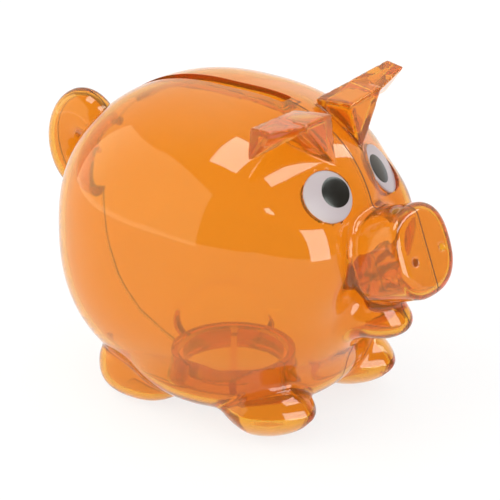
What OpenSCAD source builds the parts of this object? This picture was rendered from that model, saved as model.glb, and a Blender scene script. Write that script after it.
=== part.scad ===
// Hollow plastic piggy bank: two moulded halves glued on the mid plane, a push-in
// stopper under the belly, and domed eyes with black pupils.
// Origin: on the ground, at the centre of the bounding box. +Z up, -Y towards the snout, +X the pig's left.

/* [Shell] */
// thickness of the moulded wall
wall = 2.0; // [1.2:0.1:3.5]
// half width, half length and half height of the trunk
trunk_r = [45.3, 51.0, 47.2];
// centre of the trunk
trunk_c = [0, 2.9, 50.35];
// squareness of the trunk, where 2 is an ellipsoid
trunk_n = 2.4; // [2:0.1:3]

/* [Head] */
// half sizes of the head
head_r = [21.5, 32.5, 32.8];
// centre of the head
head_c = [0, -16.1, 62.2];
// half sizes of each cheek
cheek_r = [11.6, 13.8, 16.3];
// centre of the left cheek
cheek_c = [17.1, -36.0, 57.7];
// how softly the cheeks run into the face
cheek_blend = 5.7; // [2:0.1:10]
// how softly the head and belly run into the trunk
trunk_blend = 7.7; // [2:0.1:12]

/* [Belly] */
// half sizes of the flattened belly
belly_r = [37.8, 32.9, 13.1];
// centre of the flattened belly
belly_c = [0, -5.55, 15.5];

/* [Snout and lip] */
// radius of the round snout
snout_r = 13.7; // [8:0.1:20]
// half the snout's length
snout_half = 10.5; // [6:0.1:16]
// how far the snout's face leans back, in degrees
snout_tilt = 20.1; // [0:0.1:35]
// radius of the snout's rim
snout_rim = 3.3; // [0.5:0.1:6]
// centre of the snout
snout_c = [0, -57.8, 58.4];
// half sizes of the lower lip
lip_r = [10.5, 14.2, 6.8];
// centre of the lower lip
lip_c = [0, -47.8, 36.9];
// squareness of the snout seen from the front
snout_n = 2.5; // [2:0.1:4]
// distance of a nostril from the mid plane
nostril_x = 6.9; // [3:0.1:10]
// radius of the ball that presses a nostril
nostril_ball = 1.2; // [0.5:0.1:3]

/* [Legs] */
// half sizes of a front leg
leg_front_r = [14.2, 17.4, 10.75];
// centre of the left front leg
leg_front_c = [21.35, -25.85, 9.75];
// half sizes of a rear leg
leg_rear_r = [14.7, 15.1, 10.6];
// centre of the left rear leg
leg_rear_c = [18.8, 18.9, 9.6];
// squareness of the front and of the rear legs
leg_front_n = 1.5; // [1.3:0.05:3]
leg_rear_n = 2.45; // [1.3:0.05:3]
// width of the cleft in a front hoof
cleft_w = 1.3; // [0.5:0.1:3]

/* [Ears] */
// corner rounding of the ears
ear_round = 0.7; // [0.3:0.1:2]
// top of the ear at its root, back then front
ear_root_back = [6.4, -24.9, 96.4];
ear_root_front = [5.5, -36.6, 97.7];
// lowest corner of the ear, on the forehead
ear_foot = [7.3, -39.2, 85.0];
// top of the ear half way out, back then front
ear_mid_back = [19, -27.9, 98.7];
ear_mid_front = [19, -37.3, 98.6];
// underside of the ear half way out
ear_arch = [19, -35.0, 96.0];
// tip of the ear, back, front and bottom
ear_tip_back = [34.1, -30.4, 101.0];
ear_tip_front = [33.1, -35.5, 100.6];
ear_tip_low = [33.9, -29.6, 92.3];
// corner of the ear that is buried in the head
ear_inside = [10, -26, 86];
// size of the hollow inside the ear, as a part of the ear
ear_hollow = 0.6; // [0.2:0.05:0.8]

/* [Tail] */
// centre of the curl
tail_c = [0, 58.2, 66.6];
// radius of the curl and of the tail itself
tail_curl = 6.9; // [4:0.1:10]
tail_r = 6.4; // [3:0.1:9]
// wall of the tail
tail_wall = 1.8; // [1:0.1:3]
// how much taller the curl is than it is deep
tail_stretch = 1.3; // [1:0.05:1.6]

/* [Coin slot] */
// width of the coin slot
slot_w = 5.0; // [3.5:0.1:6]
// front and rear end of the coin slot along the back
slot_front_y = -18.2;
slot_rear_y = 34.4;
// depth and thickness of the chute walls below the slot
chute_h = 3.6; // [2:0.1:6]
chute_t = 1.2; // [0.8:0.1:2]

/* [Stopper] */
// where the stopper stands on the mid plane
stopper_y = 1.4;
// radius of the hole in the belly
hole_r = 17.4; // [12:0.1:19]
// gap around the stopper's neck
stopper_gap = 0.3; // [0.05:0.05:0.5]
// radius and thickness of the stopper's flange
flange_r = 20.0; // [14:0.1:22]
flange_t = 1.5; // [1:0.1:3]
// height of the flange's seat above the ground
seat_z = 4.0; // [2:0.1:5]
// height of the collar around the neck
collar_h = 7.0; // [4:0.1:12]
// thickness of the stopper's grip bar
grip_t = 2.0; // [1.5:0.1:5]
// how far the stopper is turned in its hole, in degrees
grip_turn = 36; // [0:1:180]

/* [Eyes] */
// radius of the white of an eye
eye_r = 7.9; // [5:0.1:10]
// how far the eye domes out of its seat
eye_dome = 0.5; // [0.2:0.1:5]
// centre of the left eye's seat and the direction it looks
eye_c = [13.3, -41.2, 76.0];
eye_turn = 23; // [0:1:45]
eye_lift = 33.5; // [0:0.5:60]
// radius and thickness of the pupil
pupil_r = 4.6; // [2:0.1:6]
pupil_t = 0.25; // [0.2:0.05:1]
// where the pupil sits on the eye, towards the snout and up
pupil_in = 2.65;
pupil_up = 0.85;

/* [Hidden] */
$fn = 48;
plastic = [0.95, 0.52, 0.16, 0.6];
eye_white_colour = [0.93, 0.92, 0.94];
pupil_colour = [0.04, 0.04, 0.04];
big = 400;
core = [0, 0, 52];              // every surface point of the trunk is seen from here
slices_out = 26;                // rings from the mid plane to one side, outside
slices_in = 16;                 // the same inside the wall
around_out = 92;                // points around each ring, outside
around_in = 46;                 // the same inside the wall
halvings = 13;
pad_r = eye_r + 1.2;
eye_ball = (eye_r * eye_r + eye_dome * eye_dome) / (2 * eye_dome);
eye_plinth = 1.4;
neck_r = hole_r - stopper_gap;
stopper_wall = 1.4;
flange_gap = 0.15;
flange_top = seat_z - flange_gap;
stopper_top = seat_z + collar_h - 0.4;

// ---- distance of a point from a rounded block, roughly, negative inside ----
function ratio(p, c, r) = [abs(p[0] - c[0]) / r[0] + 1e-6, abs(p[1] - c[1]) / r[1] + 1e-6,
                           abs(p[2] - c[2]) / r[2] + 1e-6];
function level(q, n) = pow(pow(q[0], n) + pow(q[1], n) + pow(q[2], n), 1 / n);
function slope(q, r, n, k) =
    norm([pow(q[0], n - 1) / r[0], pow(q[1], n - 1) / r[1], pow(q[2], n - 1) / r[2]]) * pow(k, 1 - n);
function block(p, c, r, n, q, k) = (k - 1) / slope(q, r, n, k);
function blob(p, c, r, n) =
    let (q = ratio(p, c, r), k = level(q, n)) block(p, c, r, n, q, k);
function blend(a, b, k) =
    let (h = max(0, min(1, 0.5 + 0.5 * (b - a) / k))) b * (1 - h) + a * h - k * h * (1 - h);
function fold(p) = [abs(p[0]), p[1], p[2]];
function pig(p) =
    let (q = fold(p),
         a = blend(blob(q, trunk_c, trunk_r, trunk_n), blob(q, head_c, head_r, 2), trunk_blend),
         b = blend(blob(q, belly_c, belly_r, 2), blob(q, cheek_c, cheek_r, 2), cheek_blend))
    blend(a, b, trunk_blend);

// distance from the core to the skin, found by halving
function reach(d, depth, lo, hi, n) =
    n == 0 ? (lo + hi) / 2
           : let (m = (lo + hi) / 2)
             (pig(core + d * m) + depth < 0 ? reach(d, depth, m, hi, n - 1) : reach(d, depth, lo, m, n - 1));
function heading(f, t) = [cos(f), sin(f) * cos(t), sin(f) * sin(t)];

// closed skin of the trunk, head, cheeks and belly, at a depth below the outside
module trunk(depth, slices, around) {
    rings = 2 * slices;
    body = [for (i = [1 : rings - 1]) for (j = [0 : around - 1])
        let (d = heading(180 * i / rings, 360 * j / around)) core + d * reach(d, depth, 8, 75, halvings)];
    side = core + [reach([1, 0, 0], depth, 8, 75, halvings), 0, 0];
    other = core - [reach([1, 0, 0], depth, 8, 75, halvings), 0, 0];
    points = concat(body, [side, other]);
    first = len(body);
    caps = [for (j = [0 : around - 1]) each
        let (k = (j + 1) % around, e = (rings - 2) * around) [[first, k, j], [first + 1, e + j, e + k]]];
    sides = [for (i = [0 : rings - 3]) for (j = [0 : around - 1]) each
        let (k = (j + 1) % around, a = i * around, b = (i + 1) * around)
        [[a + j, a + k, b + j], [a + k, b + k, b + j]]];
    polyhedron(points, concat(caps, sides), convexity = 6);
}

// rounded block with one skin, used for the legs and the lip
module lump(c, r, n, less, fine) {
    turns = fine;
    rings = fine / 2;
    ring_points = [for (i = [1 : rings - 1]) for (j = [0 : turns - 1])
        let (d = heading(180 * i / rings, 360 * j / turns),
             k = level([abs(d[0]) / (r[0] - less) + 1e-9, abs(d[1]) / (r[1] - less) + 1e-9,
                        abs(d[2]) / (r[2] - less) + 1e-9], n)) c + d / k];
    points = concat(ring_points, [c + [r[0] - less, 0, 0], c - [r[0] - less, 0, 0]]);
    first = len(ring_points);
    caps = [for (j = [0 : turns - 1]) each
        let (k = (j + 1) % turns, e = (rings - 2) * turns) [[first, k, j], [first + 1, e + j, e + k]]];
    sides = [for (i = [0 : rings - 3]) for (j = [0 : turns - 1]) each
        let (k = (j + 1) % turns, a = i * turns, b = (i + 1) * turns)
        [[a + j, a + k, b + j], [a + k, b + k, b + j]]];
    polyhedron(points, concat(caps, sides), convexity = 3);
}

// squarish drum with a rounded rim, leaning back
module snout(less, around) {
    r = snout_r - less;
    h = snout_half - less;
    rim = max(0.4, snout_rim - less);
    line = concat([[r, -snout_half]],
                  [for (a = [0 : 15 : 90]) [r - rim + rim * cos(a), h - rim + rim * sin(a)]]);
    rows = len(line);
    points = concat([for (q = line) for (j = [0 : around - 1])
        let (a = 360 * j / around, k = q[0] / level([abs(cos(a)) + 1e-9, abs(sin(a)) + 1e-9, 0], snout_n))
        [k * cos(a), k * sin(a), q[1]]], [[0, 0, -snout_half], [0, 0, h]]);
    foot = rows * around;
    caps = [for (j = [0 : around - 1]) each
        let (k = (j + 1) % around, e = (rows - 1) * around) [[foot, j, k], [foot + 1, e + k, e + j]]];
    sides = [for (i = [0 : rows - 2]) for (j = [0 : around - 1]) each
        let (k = (j + 1) % around, a = i * around, b = (i + 1) * around)
        [[a + j, b + j, a + k], [a + k, b + j, b + k]]];
    translate(snout_c) rotate([90 - snout_tilt, 0, 0])
        polyhedron(points, concat(caps, sides), convexity = 3);
}

// one corner of an ear, drawn in towards the middle m of its panel
module ear_ball(p, m, k, fine) {
    translate(m + (p - m) * k) sphere(r = ear_round * k, $fn = fine);
}

function middle(v) = [for (i = [0 : 2]) [for (p = v) 1] * [for (p = v) p[i]] / len(v)];

module ear_panel(corners, k, fine) {
    m = middle(corners);
    hull()
        for (p = corners)
            ear_ball(p, m, k, fine);
}

module ear(k, fine) {
    root = [ear_root_back, ear_root_front, ear_foot, ear_mid_back, ear_mid_front, ear_arch, ear_inside];
    tip = [ear_mid_back, ear_mid_front, ear_arch, ear_tip_back, ear_tip_front, ear_tip_low];
    ear_panel(root, k, fine);
    ear_panel(tip, k, fine);
    hull() {
        translate(middle(root)) sphere(r = 0.8, $fn = fine);
        translate(middle(tip)) sphere(r = 0.8, $fn = fine);
    }
}

module tail(less, fine) {
    translate(tail_c) scale([1, 1, tail_stretch])
        for (a = [-150 : 30 : 120])
            hull() {
                rotate([a, 0, 0]) translate([0, tail_curl, 0]) sphere(r = tail_r - less, $fn = fine);
                rotate([a + 30, 0, 0]) translate([0, tail_curl, 0]) sphere(r = tail_r - less, $fn = fine);
            }
}

module outside() {
    trunk(0, slices_out, around_out);
    snout(0, 56);
    lump(lip_c, lip_r, 2, 0, 28);
    lump(leg_front_c, leg_front_r, leg_front_n, 0, 32);
    lump(leg_rear_c, leg_rear_r, leg_rear_n, 0, 32);
    ear(1, 10);
    tail(0, 20);
}

module inside() {
    trunk(wall, slices_in, around_in);
    snout(wall, 36);
    lump(lip_c, lip_r, 2, wall, 16);
    lump(leg_front_c, leg_front_r, leg_front_n, wall, 20);
    lump(leg_rear_c, leg_rear_r, leg_rear_n, wall, 20);
    tail(tail_wall, 12);
    ear(ear_hollow, 6);
}

module on_eye() {
    translate(eye_c) rotate([0, 0, eye_turn]) rotate([90 - eye_lift, 0, 0]) children();
}

// solid parts that stand inside the wall
module stiffeners() {
    translate([0, stopper_y, seat_z]) cylinder(r = hole_r + wall, h = collar_h, $fn = 64);
    difference() {
        intersection() {
            translate([0, slot_front_y - chute_t, 80])
                cube([slot_w / 2 + chute_t, slot_rear_y - slot_front_y + 2 * chute_t, 30]);
            trunk(wall / 2, slices_in, around_in);
        }
        trunk(chute_h, slices_in, around_in);
    }
    intersection() {
        on_eye() translate([0, 0, -2.2]) cylinder(r = pad_r, h = 4, $fn = 32);
        trunk(0, slices_in, around_in);
    }
}

module left_half() {
    difference() {
        union() {
            difference() {
                outside();
                inside();
            }
            stiffeners();
        }
        translate([-big, -big / 2, -big / 2]) cube([big, big, big]);
        translate([-big / 2, -big / 2, -big]) cube([big, big, big]);
        translate([-slot_w / 2, slot_front_y, 80]) cube([slot_w, slot_rear_y - slot_front_y, 40]);
        translate([0, stopper_y, -1]) cylinder(r = hole_r, h = 30, $fn = 64);
        translate([0, stopper_y, -1]) cylinder(r = flange_r + 0.4, h = seat_z + 1, $fn = 64);
        on_eye() cylinder(r = eye_r + 0.2, h = 12, $fn = 56);
        translate(snout_c) rotate([90 - snout_tilt, 0, 0])
            translate([nostril_x, -1.5, snout_half - 0.1]) sphere(r = nostril_ball, $fn = 16);
        translate([leg_front_c[0] - 0.5, leg_front_c[1] - leg_front_r[1] + 0.6, 2])
            rotate([-24, 0, 0]) translate([-cleft_w / 2, -4, 0]) cube([cleft_w, 4, 5]);
    }
}

module shell_left() {
    color(plastic) left_half();
}

module shell_right() {
    color(plastic) mirror([1, 0, 0]) left_half();
}

module belly_stopper() {
    color(plastic) translate([0, stopper_y, 0]) {
        difference() {
            union() {
                translate([0, 0, flange_top - flange_t]) cylinder(r = flange_r, h = flange_t);
                translate([0, 0, flange_top - 0.5]) cylinder(r = neck_r, h = stopper_top - flange_top + 0.5);
            }
            translate([0, 0, -1])
                cylinder(r = neck_r - stopper_wall, h = stopper_top - stopper_wall + 1);
        }
        rotate([0, 0, grip_turn]) translate([-neck_r + 1, -grip_t / 2, flange_top - flange_t])
            cube([2 * neck_r - 2, grip_t, stopper_top - flange_top + flange_t - 1]);
    }
}

module eye_white() {
    color(eye_white_colour) on_eye() {
        cylinder(r = eye_r, h = eye_plinth);
        translate([0, 0, eye_plinth]) intersection() {
            translate([0, 0, eye_dome - eye_ball]) sphere(r = eye_ball);
            cylinder(r = eye_r, h = eye_dome + 1);
        }
    }
}

module pupil() {
    color(pupil_colour) on_eye() translate([0, 0, eye_plinth]) intersection() {
        difference() {
            translate([0, 0, eye_dome - eye_ball]) sphere(r = eye_ball + pupil_t);
            translate([0, 0, eye_dome - eye_ball]) sphere(r = eye_ball);
        }
        translate([-pupil_in, pupil_up, 0]) cylinder(r = pupil_r, h = eye_dome + 2);
    }
}

module eye_white_left() {
    eye_white();
}

module eye_white_right() {
    mirror([1, 0, 0]) eye_white();
}

module pupil_left() {
    pupil();
}

module pupil_right() {
    mirror([1, 0, 0]) pupil();
}

shell_left();
shell_right();
belly_stopper();
eye_white_left();
eye_white_right();
pupil_left();
pupil_right();
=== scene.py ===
# A hollow, see-through orange piggy bank on a plain white floor. Units in the file are metres; the shape of
# the moulded body is worked out in millimetres and scaled once, when its mesh is made.
import math

import bpy
import numpy as np
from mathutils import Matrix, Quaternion, Vector


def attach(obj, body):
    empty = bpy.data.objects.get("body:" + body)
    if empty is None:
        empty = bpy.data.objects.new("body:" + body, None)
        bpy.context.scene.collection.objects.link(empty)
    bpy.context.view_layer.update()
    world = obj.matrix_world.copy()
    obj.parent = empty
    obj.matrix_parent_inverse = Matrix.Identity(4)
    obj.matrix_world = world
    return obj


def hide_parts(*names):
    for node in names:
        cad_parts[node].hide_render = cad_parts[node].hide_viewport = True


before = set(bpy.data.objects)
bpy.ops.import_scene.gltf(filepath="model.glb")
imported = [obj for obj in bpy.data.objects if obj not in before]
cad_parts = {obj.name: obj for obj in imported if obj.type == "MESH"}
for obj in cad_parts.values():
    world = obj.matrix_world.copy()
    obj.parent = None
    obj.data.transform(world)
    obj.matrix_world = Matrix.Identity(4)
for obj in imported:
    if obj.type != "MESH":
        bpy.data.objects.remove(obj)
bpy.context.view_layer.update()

MM = 0.001
STEP = 0.8      # cell of the grid that the body's skin is found on
GAP = 0.2                              # half the gap between the two halves, where a dark strip paints the seam line's shade
WALL = 2.0

# ------------------------------------------------------------------ shape of the body, in millimetres

TRUNK = ((0, 2.9, 50.35), (45.29, 51.0, 47.2), 2.4)
HEAD = ((0, -16.1, 62.2), (21.5, 32.5, 32.8), 2.0)
BELLY = ((0, -5.55, 15.5), (37.8, 32.9, 13.1), 2.0)
CHEEK = ((17.1, -36.0, 57.7), (11.6, 13.8, 16.3), 2.0)
LIP = ((0, -47.8, 36.9), (9.6, 14.2, 6.8), 2.0)
LEG_FRONT = ((21.35, -25.85, 9.75), (14.2, 17.4, 10.75), 1.5)
LEG_REAR = ((18.8, 18.9, 9.6), (14.7, 15.1, 10.6), 2.45)
SNOUT = dict(centre=(0, -57.8, 58.4), radius=13.7, half=10.47, rim=3.3, lean=20.1, power=2.5)
TAIL = dict(centre=(0, 58.2, 66.6), curl=6.9, tube=6.32, stretch=1.3, wall=1.8)
SLOT = dict(width=5.0, front=-18.2, rear=34.4, chute=3.6, lip=1.2)
STOPPER = dict(y=1.4, hole=17.4, collar=19.4, top=11.0, flange=20.4, seat=4.0)
EYE = dict(centre=(13.3, -41.2, 76.0), turn=23.0, lift=33.5, radius=7.9, plinth=1.4, dome=0.5, seat=0.7)
PUPIL = dict(inward=2.65, up=0.85, radius=4.6, thick=0.22)
BLEND = dict(head=7.7, cheek=5.7, snout=2.8, lip=6.0, leg=1.9, ear=0.8, tail=1.4, nostril=0.8, cleft=0.4)
INNER_BLEND = dict(ear=0.5, tail=3.0, chute=0.5, collar=0.6, eye=1.6)
EAR_ROOT = [(6.4, -24.9, 96.4), (5.5, -36.6, 97.7), (7.3, -39.2, 85.0), (10, -26, 86)]
EAR_MID = [(19, -27.9, 98.7), (19, -37.3, 98.6), (19, -35.0, 96.0)]
EAR_TIP = [(34.1, -30.4, 101.0), (33.1, -35.5, 100.6), (33.9, -29.6, 92.3)]
EAR_ROUND, EAR_EDGE = 0.7, 0.6
NOSTRIL = dict(side=6.9, down=1.5, radius=1.0, depth=0.7)
CLEFT = dict(corner=(20.9, -41.3, 2.0), half_width=0.65, half_depth=2.0, half_height=2.5, lean=-24.0)
FLOOR_Z = -0.05                        # just under the feet
FLOOR_RADIUS = 4000


def blend(a, b, k):
    """The union of two distances, rounded over a width of k."""
    h = np.clip(0.5 + 0.5 * (b - a) / k, 0, 1)
    return b * (1 - h) + a * h - k * h * (1 - h)


def trim(a, b, k):
    """What two distances share, rounded over a width of k."""
    return -blend(-a, -b, k)


def block(p, shape):
    """Distance to an ellipsoid, or to a squarer or more pointed one where its power is not 2."""
    centre, radii, power = shape
    r = np.asarray(radii)
    q = np.abs(p - np.asarray(centre)) / r + 1e-6
    if power == 2.0:
        k = np.sqrt((q * q).sum(-1))
        return (k - 1) * k / np.sqrt(((q / r) ** 2).sum(-1))
    k = (q ** power).sum(-1) ** (1 / power)
    return (k - 1) / (np.sqrt(((q ** (power - 1) / r) ** 2).sum(-1)) * k ** (1 - power))


def snout_axes():
    """The way the snout points, and the way up across its end."""
    a = math.radians(SNOUT["lean"])
    return np.array([0, -math.cos(a), math.sin(a)]), np.array([0, math.sin(a), math.cos(a)])


def drum(p):
    """Distance to the round snout."""
    axis, up = snout_axes()
    d = p - np.array(SNOUT["centre"])
    along = d @ axis
    n = SNOUT["power"]
    out = ((np.abs(d[..., 0]) + 1e-6) ** n + (np.abs(d @ up) + 1e-6) ** n) ** (1 / n)
    r = out - (SNOUT["radius"] - SNOUT["rim"])
    h = np.abs(along) - (SNOUT["half"] - SNOUT["rim"])
    return np.hypot(np.maximum(r, 0), np.maximum(h, 0)) + np.minimum(np.maximum(r, h), 0) - SNOUT["rim"]


def faces_of(points):
    """The planes round a handful of points, as (normals, distances)."""
    pts = np.array(points, float)
    found = []
    n = len(pts)
    for i in range(n):
        for j in range(i + 1, n):
            for k in range(j + 1, n):
                v = np.cross(pts[j] - pts[i], pts[k] - pts[i])
                size = np.linalg.norm(v)
                if size < 1e-6:
                    continue
                v = v / size
                side = pts @ v - pts[i] @ v
                for s in (1, -1):
                    if np.all(s * side <= 1e-6):
                        if not any(np.allclose(s * v, w) for w, _ in found):
                            found.append((s * v, s * (pts[i] @ v)))
    return found


EAR_INNER = faces_of(EAR_ROOT + EAR_MID)
EAR_OUTER = faces_of(EAR_MID + EAR_TIP)


def ear(p):
    """Distance to the left ear: two flat-sided solids, root to middle and middle to tip."""
    best = None
    for planes in (EAR_INNER, EAR_OUTER):
        d = None
        for normal, far in planes:
            e = p @ normal - far - EAR_ROUND
            d = e if d is None else trim(d, e, EAR_EDGE)
        best = d if best is None else np.minimum(best, d)
    return best


def tail(p):
    """Distance to the curl of the tail, an upright ring."""
    c, curl, tube, stretch = (TAIL[k] for k in ("centre", "curl", "tube", "stretch"))
    a = np.hypot(p[:, 1] - c[1], (p[:, 2] - c[2]) / stretch) - curl
    return np.hypot(a, p[:, 0]) - tube


def hollow_part(p):
    """The trunk, head, cheeks, belly, snout, lip and legs, run into each other."""
    body = blend(block(p, TRUNK), block(p, HEAD), BLEND["head"])
    body = blend(body, blend(block(p, BELLY), block(p, CHEEK), BLEND["cheek"]), BLEND["head"])
    body = blend(body, drum(p), BLEND["snout"])
    body = blend(body, block(p, LIP), BLEND["lip"])
    body = blend(body, block(p, LEG_FRONT), BLEND["leg"])
    return blend(body, block(p, LEG_REAR), BLEND["leg"])


def folded(p):
    """Points moved to the left side, as the two sides are alike."""
    q = np.array(p, float)
    q[:, 0] = np.abs(q[:, 0])
    return q


def nostril(p):
    """Distance to the dimple in the snout's end."""
    axis, up = snout_axes()
    end = np.array(SNOUT["centre"]) + axis * SNOUT["half"]
    d = p - (end - up * NOSTRIL["down"] + np.array([NOSTRIL["side"], 0, 0]))
    h = d @ axis
    off = d - np.clip(h, -NOSTRIL["depth"], 2)[:, None] * axis
    return np.linalg.norm(off, axis=1) - NOSTRIL["radius"]


def cleft(p):
    """Distance to the upright notch in the front of the front hoof, a leaning box."""
    a = math.radians(CLEFT["lean"])
    deep, tall = CLEFT["half_depth"], CLEFT["half_height"]
    d = p - np.array(CLEFT["corner"])
    y = d[:, 1] * math.cos(a) + d[:, 2] * math.sin(a)
    z = -d[:, 1] * math.sin(a) + d[:, 2] * math.cos(a)
    q = np.stack([np.abs(d[:, 0]) - CLEFT["half_width"], np.abs(y + deep) - deep, np.abs(z - tall) - tall], 1)
    return np.linalg.norm(np.maximum(q, 0), axis=1) + np.minimum(q.max(1), 0)


def skin(p):
    """Distance to the whole outside. The small parts are worked out only close to them, to save time."""
    q = folded(p)
    d = hollow_part(q)
    near = (q[:, 2] > 82) & (q[:, 1] < -18) & (q[:, 1] > -46)
    if near.any():
        d[near] = blend(d[near], ear(q[near]), BLEND["ear"])
    near = q[:, 1] > 38
    if near.any():
        d[near] = blend(d[near], tail(q[near]), BLEND["tail"])
    near = (q[:, 1] < -36) & (q[:, 2] < 75)
    if near.any():
        n = q[near]
        d[near] = trim(d[near], -nostril(n), BLEND["nostril"])
        d[near] = trim(d[near], -cleft(n), BLEND["cleft"])
    return d


def eye_axes():
    """The left eye's middle, then the ways across, up and out of its face."""
    t, l = math.radians(EYE["turn"]), math.radians(EYE["lift"])
    out = np.array([math.cos(l) * math.sin(t), -math.cos(l) * math.cos(t), math.sin(l)])
    side = np.array([math.cos(t), math.sin(t), 0])
    return np.array(EYE["centre"], float), side, np.cross(out, side), out


def eye_well(p, radius, low, high):
    """Distance to a round of the eye's axis, from low to high along it."""
    c, side, up, out = eye_axes()
    d = p - c
    h = d @ out
    r = np.hypot(d @ side, d @ up)
    return np.maximum(r - radius, np.maximum(low - h, h - high))


def slot(p, grow=0.0):
    """Distance to the coin slot, an upright opening with rounded corners."""
    half, r = SLOT["width"] / 2 + grow, 0.8
    mid = (SLOT["front"] + SLOT["rear"]) / 2
    long = (SLOT["rear"] - SLOT["front"]) / 2 + grow
    q = np.stack([np.abs(p[:, 0]) - half + r, np.abs(p[:, 1] - mid) - long + r], 1)
    d = np.linalg.norm(np.maximum(q, 0), axis=1) + np.minimum(q.max(1), 0) - r
    return np.maximum(d, 70 - p[:, 2])


def well(p, radius, low, high):
    """Distance to a round of the stopper's axis, from low to high along it."""
    r = np.hypot(p[:, 0], p[:, 1] - STOPPER["y"])
    return np.maximum(r - radius, np.maximum(low - p[:, 2], p[:, 2] - high))


def cavity(p):
    """Distance to the room inside, less the chute, the stopper's collar and the backs of the eyes' seats."""
    q = folded(p)
    d = hollow_part(q)
    room = d + WALL
    near = (q[:, 2] > 80) & (q[:, 1] < -18) & (q[:, 1] > -46)
    if near.any():
        room[near] = blend(room[near], ear(q[near]) + WALL, INNER_BLEND["ear"])
    near = q[:, 1] > 38
    if near.any():
        room[near] = blend(room[near], tail(q[near]) + TAIL["wall"], INNER_BLEND["tail"])
    chute = np.maximum(slot(q, SLOT["lip"]), -(d + SLOT["chute"]))
    collar = well(q, STOPPER["collar"], -5, STOPPER["top"])
    pad = eye_well(q, EYE["radius"] - 0.9, -1.6, 8)
    room = trim(room, -chute, INNER_BLEND["chute"])
    room = trim(room, -collar, INNER_BLEND["collar"])
    return trim(room, -pad, INNER_BLEND["eye"])


def stopper_hole(p):
    return well(p, STOPPER["hole"], -5, 30)


def stopper_seat(p):
    return well(p, STOPPER["flange"], -5, STOPPER["seat"])


# A half is the points where all of these are below zero.
LEAVES = [
    skin,
    lambda p: -cavity(p),
    lambda p: GAP - p[:, 0],
    lambda p: -p[:, 2],
    lambda p: -slot(p),
    lambda p: -stopper_hole(p),
    lambda p: -stopper_seat(p),
    lambda p: -eye_well(p, EYE["radius"] + 0.03, EYE["seat"], 12),
]


def slopes(leaf, p, small=0.02):
    """How fast a distance grows along each axis."""
    g = np.empty((len(p), 3))
    for i in range(3):
        e = np.zeros(3)
        e[i] = small
        g[:, i] = (leaf(p + e) - leaf(p - e)) / (2 * small)
    return g


def all_leaves(p):
    return np.stack([leaf(p) for leaf in LEAVES], 1)


def settle(start, home, reach):
    """Moves each grid point onto the surface, and onto the edge or corner where surfaces meet in its cell.

    Returns the points and which surfaces each lies on."""
    n, m = len(start), len(LEAVES)
    p = start.copy()
    for _ in range(3):
        values = all_leaves(p)
        top = values.argmax(1)
        for k in range(m):
            at = np.where(top == k)[0]
            if len(at):
                g = slopes(LEAVES[k], p[at])
                move = -values[at, k][:, None] * g / np.maximum((g * g).sum(1), 0.05)[:, None]
                p[at] += np.clip(move, -reach, reach)
    values = all_leaves(p)
    order = np.argsort(-values, axis=1)
    member = np.zeros((n, m), bool)
    member[np.arange(n), order[:, 0]] = True
    for count in (3, 2):
        close = np.take_along_axis(values, order, 1)[:, count - 1] > -0.9 * reach
        rows = np.where((member.sum(1) == 1) & close)[0]
        if not len(rows):
            continue
        q = p[rows].copy()
        pick = order[rows, :count]
        for _ in range(4):
            a = np.zeros((len(rows), count, 3))
            b = np.zeros((len(rows), count))
            for k in range(m):
                for c in range(count):
                    at = np.where(pick[:, c] == k)[0]
                    if len(at):
                        a[at, c] = slopes(LEAVES[k], q[at])
                        b[at, c] = LEAVES[k](q[at])
            square = a @ a.transpose(0, 2, 1) + 1e-3 * np.eye(count)
            move = a.transpose(0, 2, 1) @ np.linalg.solve(square, b[:, :, None])
            q -= np.clip(move[:, :, 0], -reach, reach)
        good = np.abs(q - home[rows]).max(1) < 0.62 * reach
        left = all_leaves(q)
        good &= left.max(1) < 0.05
        good &= np.abs(np.take_along_axis(left, pick, 1)).max(1) < 0.05
        p[rows[good]] = q[good]
        for c in range(count):
            member[rows[good], pick[good, c]] = True
    return p, member


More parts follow.
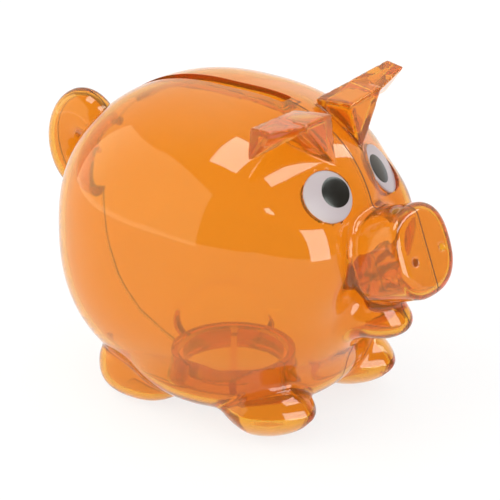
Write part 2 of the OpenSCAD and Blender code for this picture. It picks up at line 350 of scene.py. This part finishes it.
def half_shell():
    """The left half's skin as points, quads and one normal for every quad corner, in millimetres."""
    low = np.array([GAP - STEP / 2, -72.0, -STEP * 0.5])
    count = np.ceil((np.array([46.5, 72.5, 103.0]) - low) / STEP).astype(int) + 1
    axes = [low[i] + STEP * np.arange(count[i]) for i in range(3)]
    value = np.empty(count)
    for i, x in enumerate(axes[0]):
        y, z = np.meshgrid(axes[1], axes[2], indexing="ij")
        p = np.stack([np.full(y.size, x), y.ravel(), z.ravel()], 1)
        value[i] = all_leaves(p).max(1).reshape(y.shape)
    inside = value < 0
    corners = [(i, j, k) for i in (0, 1) for j in (0, 1) for k in (0, 1)]
    size = [c - 1 for c in count]

    def part(a, c):
        return a[c[0]:c[0] + size[0], c[1]:c[1] + size[1], c[2]:c[2] + size[2]]

    total = sum(part(inside, c).astype(np.int8) for c in corners)
    cells = np.argwhere((total > 0) & (total < 8))
    index = np.full(size, -1, np.int64)
    index[tuple(cells.T)] = np.arange(len(cells))
    sums, hits = np.zeros((len(cells), 3)), np.zeros(len(cells))
    for a in corners:
        for axis in range(3):
            if a[axis]:
                continue
            b = list(a)
            b[axis] = 1
            ia, ib = cells + np.array(a), cells + np.array(b)
            va, vb = value[tuple(ia.T)], value[tuple(ib.T)]
            cross = (va < 0) != (vb < 0)
            t = np.where(cross, va / np.where(cross, va - vb, 1), 0)
            point = ia + t[:, None] * (np.array(b) - np.array(a))
            sums[cross] += point[cross]
            hits[cross] += 1
    start = low + STEP * sums / hits[:, None]
    home = low + STEP * (cells + 0.5)
    points, member = settle(start, home, STEP)

    quads = []
    for axis in range(3):
        u, v = (axis + 1) % 3, (axis + 2) % 3
        n = count[axis]
        a = np.argwhere(np.take(inside, range(n - 1), axis) != np.take(inside, range(1, n), axis))
        a = a[(a[:, u] > 0) & (a[:, v] > 0) & (a[:, u] < size[u]) & (a[:, v] < size[v])]
        first = inside[tuple(a.T)]
        eu, ev = np.zeros(3, int), np.zeros(3, int)
        eu[u], ev[v] = 1, 1
        ring = [a, a - eu, a - eu - ev, a - ev]
        q = np.stack([index[tuple(r.T)] for r in ring], 1)
        q[~first] = q[~first][:, ::-1]
        quads.append(q)
    quads = np.concatenate(quads)

    normal = np.zeros((len(LEAVES), len(points), 3))
    for k, leaf in enumerate(LEAVES):
        at = np.where(member[:, k])[0]
        if len(at):
            g = slopes(leaf, points[at])
            normal[k, at] = g / np.maximum(np.linalg.norm(g, axis=1), 1e-9)[:, None]
    c = points[quads]
    flat = np.cross(c[:, 2] - c[:, 0], c[:, 3] - c[:, 1])
    flat /= np.maximum(np.linalg.norm(flat, axis=1), 1e-12)[:, None]
    choice = np.einsum("klcx,lx->klc", normal[:, quads], flat)
    choice[~member.T[:, quads]] = -9
    best = choice.argmax(0)
    loop = normal[best, quads]
    return points, quads, loop


def mesh_piece(name, points, faces, material, loops=None, smooth=True):
    """An object from points in millimetres; loops are the normals of its faces' corners."""
    mesh = bpy.data.meshes.new(name)
    faces = faces if isinstance(faces, list) else faces.tolist()
    mesh.from_pydata((np.asarray(points) * MM).tolist(), [], faces)
    mesh.polygons.foreach_set("use_smooth", [smooth] * len(mesh.polygons))
    if loops is not None:
        mesh.normals_split_custom_set(loops.reshape(-1, 3).tolist())
    mesh.materials.append(material)
    mesh.update()
    piece = bpy.data.objects.new(name, mesh)
    bpy.context.scene.collection.objects.link(piece)
    return piece


# ------------------------------------------------------------------ materials

MIX_A, MIX_B, MIX_OUT = 6, 7, 2        # the colour sockets of a Mix node


def shader(name, **values):
    """A new material and its Principled shader, with plain values on the shader's own sockets."""
    material = bpy.data.materials.new(name)
    material.use_nodes = True
    tree = material.node_tree
    bsdf = tree.nodes["Principled BSDF"]
    for key, value in values.items():
        bsdf.inputs[key.replace("_", " ")].default_value = value
    return material, tree, bsdf


def wire(tree, a, out, b, into):
    tree.links.new(a.outputs[out], b.inputs[into])


def noise(tree, scale, detail=2.0):
    where = tree.nodes.new("ShaderNodeTexCoord")
    made = tree.nodes.new("ShaderNodeTexNoise")
    made.inputs["Scale"].default_value = scale
    made.inputs["Detail"].default_value = detail
    made.inputs["Roughness"].default_value = 0.5
    wire(tree, where, "Object", made, "Vector")
    return made


def spread(tree, source, low, high):
    """A noise's value, stretched to run from low to high."""
    made = tree.nodes.new("ShaderNodeMapRange")
    for key, value in (("From Min", 0.3), ("From Max", 0.7), ("To Min", low), ("To Max", high)):
        made.inputs[key].default_value = value
    wire(tree, source, 0, made, 0)
    return made


def colour_mix(tree, one, two):
    """A colour mix between two colours, still without its factor."""
    made = tree.nodes.new("ShaderNodeMix")
    made.data_type = "RGBA"
    made.inputs[MIX_A].default_value = (*one, 1)
    made.inputs[MIX_B].default_value = (*two, 1)
    return made


def mottle(tree, bsdf, scale, one, two):
    """A base colour that drifts between two colours."""
    mix = colour_mix(tree, one, two)
    wire(tree, noise(tree, scale, 2), 0, mix, 0)
    wire(tree, mix, MIX_OUT, bsdf, "Base Color")


def bumps(tree, bsdf, source, height, strength):
    made = tree.nodes.new("ShaderNodeBump")
    made.inputs["Distance"].default_value = height
    made.inputs["Strength"].default_value = strength
    wire(tree, source, 0, made, "Height")
    wire(tree, made, 0, bsdf, "Normal")


def clear_plastic(name, tint, colour, density):
    """Glossy see-through plastic, a little milky.

    tint is the shader's colour; colour and density are for light's way inside the wall."""
    material, tree, bsdf = shader(name, IOR=1.45, Base_Color=(*tint, 1), Transmission_Weight=0.9)
    wire(tree, spread(tree, noise(tree, 60, 3), 0.02, 0.05), 0, bsdf, "Roughness")
    bumps(tree, bsdf, noise(tree, 42, 2), 0.0005, 0.22)
    inside = tree.nodes.new("ShaderNodeVolumeAbsorption")
    inside.inputs["Color"].default_value = (*colour, 1)
    inside.inputs["Density"].default_value = density
    wire(tree, inside, 0, tree.nodes["Material Output"], "Volume")
    return material


def build_materials():
    made = {}
    made["orange"] = clear_plastic("orange_plastic", (0.975, 0.56, 0.085), (0.98, 0.75, 0.05), 220.0)
    # The seam strip's two dark colours are painted shade: the dark line that light makes along the gap
    # between the halves.
    for name, dark, light in (
        ("seam_shade_film", (0.30, 0.07, 0.01), (0.50, 0.15, 0.02)),
        ("seam_shade_edge", (0.02, 0.006, 0.002), (0.06, 0.018, 0.004)),
    ):
        made[name], tree, bsdf = shader(name, Roughness=0.6, IOR=1.45)
        mottle(tree, bsdf, 120, dark, light)
    made["white"], tree, bsdf = shader("eye_white_plastic", Roughness=0.3, IOR=1.5)
    mottle(tree, bsdf, 90, (0.50, 0.43, 0.46), (0.55, 0.48, 0.51))
    bumps(tree, bsdf, noise(tree, 400, 1), 0.00003, 0.2)
    made["black"], tree, bsdf = shader("pupil_black_plastic", Base_Color=(0.006, 0.006, 0.007, 1), IOR=1.5)
    wire(tree, spread(tree, noise(tree, 200, 2), 0.16, 0.24), 0, bsdf, "Roughness")
    made["floor"] = white_floor()
    return made


def white_floor():
    """White, and clear from below, so that views from under the object see it."""
    floor, tree, bsdf = shader(
        "floor_white", Roughness=0.9, IOR=1.2, Emission_Color=(1, 1, 1, 1), Emission_Strength=0.78)
    mottle(tree, bsdf, 3, (0.22, 0.22, 0.22), (0.24, 0.24, 0.24))
    side = tree.nodes.new("ShaderNodeNewGeometry")
    clear = tree.nodes.new("ShaderNodeBsdfTransparent")
    either = tree.nodes.new("ShaderNodeMixShader")
    wire(tree, side, "Backfacing", either, 0)
    wire(tree, bsdf, 0, either, 1)
    wire(tree, clear, 0, either, 2)
    wire(tree, either, 0, tree.nodes["Material Output"], "Surface")
    return floor


# ------------------------------------------------------------------ pieces


def circle(radius, height, steps):
    turns = [2 * math.pi * i / steps for i in range(steps)]
    return [(radius * math.cos(t), radius * math.sin(t), height) for t in turns]


def turned(profile, steps=96):
    """Points and faces of a profile of (radius, height) turned about an axis; a radius of 0 closes an end."""
    points, faces, rings = [], [], []
    for r, h in profile:
        if r < 1e-9:
            rings.append([len(points)] * steps)
            points.append((0, 0, h))
        else:
            rings.append(list(range(len(points), len(points) + steps)))
            points += circle(r, h, steps)
    for a, b in zip(rings, rings[1:]):
        for i in range(steps):
            j = (i + 1) % steps
            face = [a[i], a[j], b[j], b[i]]
            face = [v for n, v in enumerate(face) if v not in face[:n]]
            if len(face) > 2:
                faces.append(face)
    return points, faces


def on_eye(points, side):
    """Points of the eye's own frame, placed on the left (1) or the right (-1) of the face."""
    c, across, up, out = eye_axes()
    p = np.array(points)
    q = c + p[:, :1] * across + p[:, 1:2] * up + p[:, 2:] * out
    if side < 0:
        q[:, 0] *= -1
    return q


def eye_profile():
    """The outline of an eye's white, and the radius of the ball that its face is part of."""
    r, base, dome = EYE["radius"], EYE["plinth"], EYE["dome"]
    ball = (r * r + dome * dome) / (2 * dome)

    def face(q):
        return base + dome - ball + math.sqrt(ball * ball - q * q)

    rim, edge, foot = 0.45, base - 0.3, EYE["seat"] + 0.02
    line = [(0, foot), (r - 0.2, foot), (r, foot + 0.08), (r, edge)]
    start = r - rim
    rise = face(start) - edge
    line += [(r - rim * (1 - math.cos(a)), edge + rise * math.sin(a)) for a in (0.4, 0.8, 1.2)]
    line += [(start * k, face(start * k)) for k in (1, 0.9, 0.78, 0.64, 0.5, 0.35, 0.2, 0.1)]
    return line + [(0, base + dome)], ball


def build_eyes(materials):
    profile, ball = eye_profile()
    points, faces = turned(profile)
    top = EYE["plinth"] + EYE["dome"]

    def on_dome(x, y, lift):
        return top - ball + math.sqrt(ball * ball - x * x - y * y) + lift

    r = PUPIL["radius"]
    line = [(0, 1), (0.2, 0.97), (0.4, 0.88), (0.6, 0.74), (0.8, 0.53), (0.93, 0.34), (0.985, 0.2), (1, 0.1)]
    line += [(1, 0.05), (0.9, 0.05), (0.5, 0.05), (0, 0.05)]
    flat, disc = turned([(a * r, b * PUPIL["thick"]) for a, b in line], 72)
    disc = [f[::-1] for f in disc]
    pupil = []
    for x, y, lift in flat:
        px, py = x - PUPIL["inward"], y + PUPIL["up"]
        pupil.append((px, py, on_dome(px, py, lift)))
    white, black = materials["white"], materials["black"]
    for side, word in ((1, "left"), (-1, "right")):
        sense = slice(None, None, side)
        eye = mesh_piece("eye_dome_" + word, on_eye(points, side), [f[sense] for f in faces], white)
        eye.data.set_sharp_from_angle(angle=math.radians(50))
        dot = mesh_piece("pupil_disc_" + word, on_eye(pupil, side), [f[sense] for f in disc], black)
        for piece, node, place in (
            (eye, "eye_white_" + word, "eye_white"),
            (dot, "pupil_" + word, "pupil_black"),
        ):
            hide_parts(node)
            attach(piece, "bank")


def seam_shade_strip(points, quads):
    """A thin dark strip between the halves, painted shade for the dark line along the seam: the cut faces of
    one half, doubled and closed all round.

    Returns its points, its faces and how many of the last ones make the rim."""
    thick = GAP - 0.012
    flat = quads[(np.abs(points[quads, 0] - GAP) < 1e-3).all(1)]
    used, back = np.unique(flat, return_inverse=True)
    flat = back.reshape(flat.shape)
    one, two = points[used].copy(), points[used].copy()
    one[:, 0], two[:, 0] = thick, -thick
    n = len(used)
    edges = {}
    for q in flat:
        for a, b in zip(q, np.roll(q, -1)):
            edges[(a, b)] = (b, a) not in edges and edges.get((a, b), True)
            if (b, a) in edges:
                edges[(a, b)] = edges[(b, a)] = False
    rim = [(int(a), int(b)) for (a, b), free in edges.items() if free]
    faces = flat[:, ::-1].tolist() + (flat + n).tolist() + [[a, b, b + n, a + n] for a, b in rim]
    return np.concatenate([one, two]), faces, len(rim)


def build_shells(materials):
    points, quads, loops = half_shell()
    # The strip between the halves is dark to paint the seam line's shade; its rim, where it meets the skin,
    # is painted darker still.
    film, faces, rim = seam_shade_strip(points, quads)
    strip = mesh_piece("seam_shade_line", film, faces, materials["seam_shade_film"], smooth=False)
    strip.data.materials.append(materials["seam_shade_edge"])
    for face in list(strip.data.polygons)[-rim:]:
        face.material_index = 1
    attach(strip, "bank")
    left = mesh_piece("body_left", points, quads, materials["orange"], loops)
    mirror = np.array([-1, 1, 1])
    right = mesh_piece(
        "body_right", points * mirror, quads[:, ::-1], materials["orange"], loops[:, ::-1] * mirror)
    for piece, node in ((left, "shell_left"), (right, "shell_right")):
        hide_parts(node)
        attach(piece, "bank")


def build_stopper(materials):
    """The stopper's own solid is shown as it is, in the same plastic."""
    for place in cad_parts["belly_stopper"].material_slots:
        place.material = materials["orange"]


# ------------------------------------------------------------------ stage, light and camera


def aim(azimuth, elevation):
    """The way out to a place round the object; azimuth 0 is in front of the snout."""
    a, e = math.radians(azimuth), math.radians(elevation)
    return Vector((math.sin(a) * math.cos(e), -math.cos(a) * math.cos(e), math.sin(e)))


def softbox(name, azimuth, elevation, width, height, glow, colour):
    """A rectangular soft light a metre from the object; glow is how bright its face is."""
    data = bpy.data.lights.new(name, "AREA")
    data.shape = "RECTANGLE"
    data.size, data.size_y = width, height
    data.energy = glow * math.pi * width * height
    data.color = colour
    light = bpy.data.objects.new(name, data)
    bpy.context.scene.collection.objects.link(light)
    back = aim(azimuth, elevation)
    light.location = Vector((0, 0, 0.05)) + back
    light.rotation_mode = "QUATERNION"
    light.rotation_quaternion = back.to_track_quat("Z", "Y")
    light.visible_camera = False
    light.visible_transmission = False
    return light


def build_stage(materials):
    steps = 128
    glow, colour = 7.8, (0.9, 0.98, 0.93)
    ring = circle(FLOOR_RADIUS, FLOOR_Z, steps)
    floor = mesh_piece("floor", ring, [list(range(steps))], materials["floor"], smooth=False)
    softbox("side_panel", -137, 12, 1.75, 1.5, 1.6, (1, 0.95, 0.65))
    for name, azimuth, elevation, width, height, roll in (
        ("front_panel", -18.5, 8.5, 0.71, 1.02, 0),
        ("high_panel", 30, 51.5, 1.3, 0.2, -30),
        ("top_panel", -95, 80.5, 0.36, 0.56, 0),
    ):
        panel = softbox(name, azimuth, elevation, width, height, glow, colour)
        panel.rotation_quaternion @= Quaternion((0, 0, 1), math.radians(roll))
        panel.visible_diffuse = False
    build_world()


def build_world():
    """A white room, except that reflections see it warm and darker away from one side."""
    world = bpy.data.worlds.new("studio")
    world.use_nodes = True
    tree = world.node_tree
    back = tree.nodes["Background"]
    where = tree.nodes.new("ShaderNodeTexCoord")
    along = tree.nodes.new("ShaderNodeVectorMath")
    along.operation = "DOT_PRODUCT"
    along.inputs[1].default_value = aim(126, 12)
    wire(tree, where, "Generated", along, 0)
    ramp = tree.nodes.new("ShaderNodeMapRange")
    ramp.interpolation_type = "SMOOTHSTEP"
    for key, value in (("From Min", -0.15), ("From Max", 0.85), ("To Min", 0.0), ("To Max", 1.0)):
        ramp.inputs[key].default_value = value
    wire(tree, along, "Value", ramp, 0)
    room = colour_mix(tree, (0.35, 0.28, 0.18), (1.0, 0.93, 0.82))
    wire(tree, ramp, 0, room, 0)
    tone = colour_mix(tree, (1, 1, 1), (1, 1, 1))
    wire(tree, tree.nodes.new("ShaderNodeLightPath"), "Is Glossy Ray", tone, 0)
    wire(tree, room, MIX_OUT, tone, MIX_B)
    wire(tree, tone, MIX_OUT, back, "Color")
    bpy.context.scene.world = world


def build_camera():
    data = bpy.data.cameras.new("camera")
    data.sensor_width = 36.0
    data.lens = 192.312
    data.shift_x, data.shift_y = 0.0068, -0.0246
    data.clip_start, data.clip_end = 0.01, 50
    camera = bpy.data.objects.new("camera", data)
    bpy.context.scene.collection.objects.link(camera)
    back = aim(-54.0, 23.5)
    camera.location = Vector((0, -0.0035, 0.0494)) + back * 0.804
    camera.rotation_mode = "QUATERNION"
    camera.rotation_quaternion = (-back).to_track_quat("-Z", "Y")
    bpy.context.scene.camera = camera


def settings():
    scene = bpy.context.scene
    scene.view_settings.view_transform = "Standard"
    scene.view_settings.look = "None"
    scene.cycles.max_bounces = 32
    scene.cycles.transmission_bounces = 32
    scene.cycles.glossy_bounces = 12
    scene.cycles.transparent_max_bounces = 16
    scene.cycles.sample_clamp_indirect = 8.0
    scene.cycles.use_denoising = True


build_camera()
settings()
MATERIALS = build_materials()
build_stage(MATERIALS)
build_shells(MATERIALS)
build_eyes(MATERIALS)
build_stopper(MATERIALS)
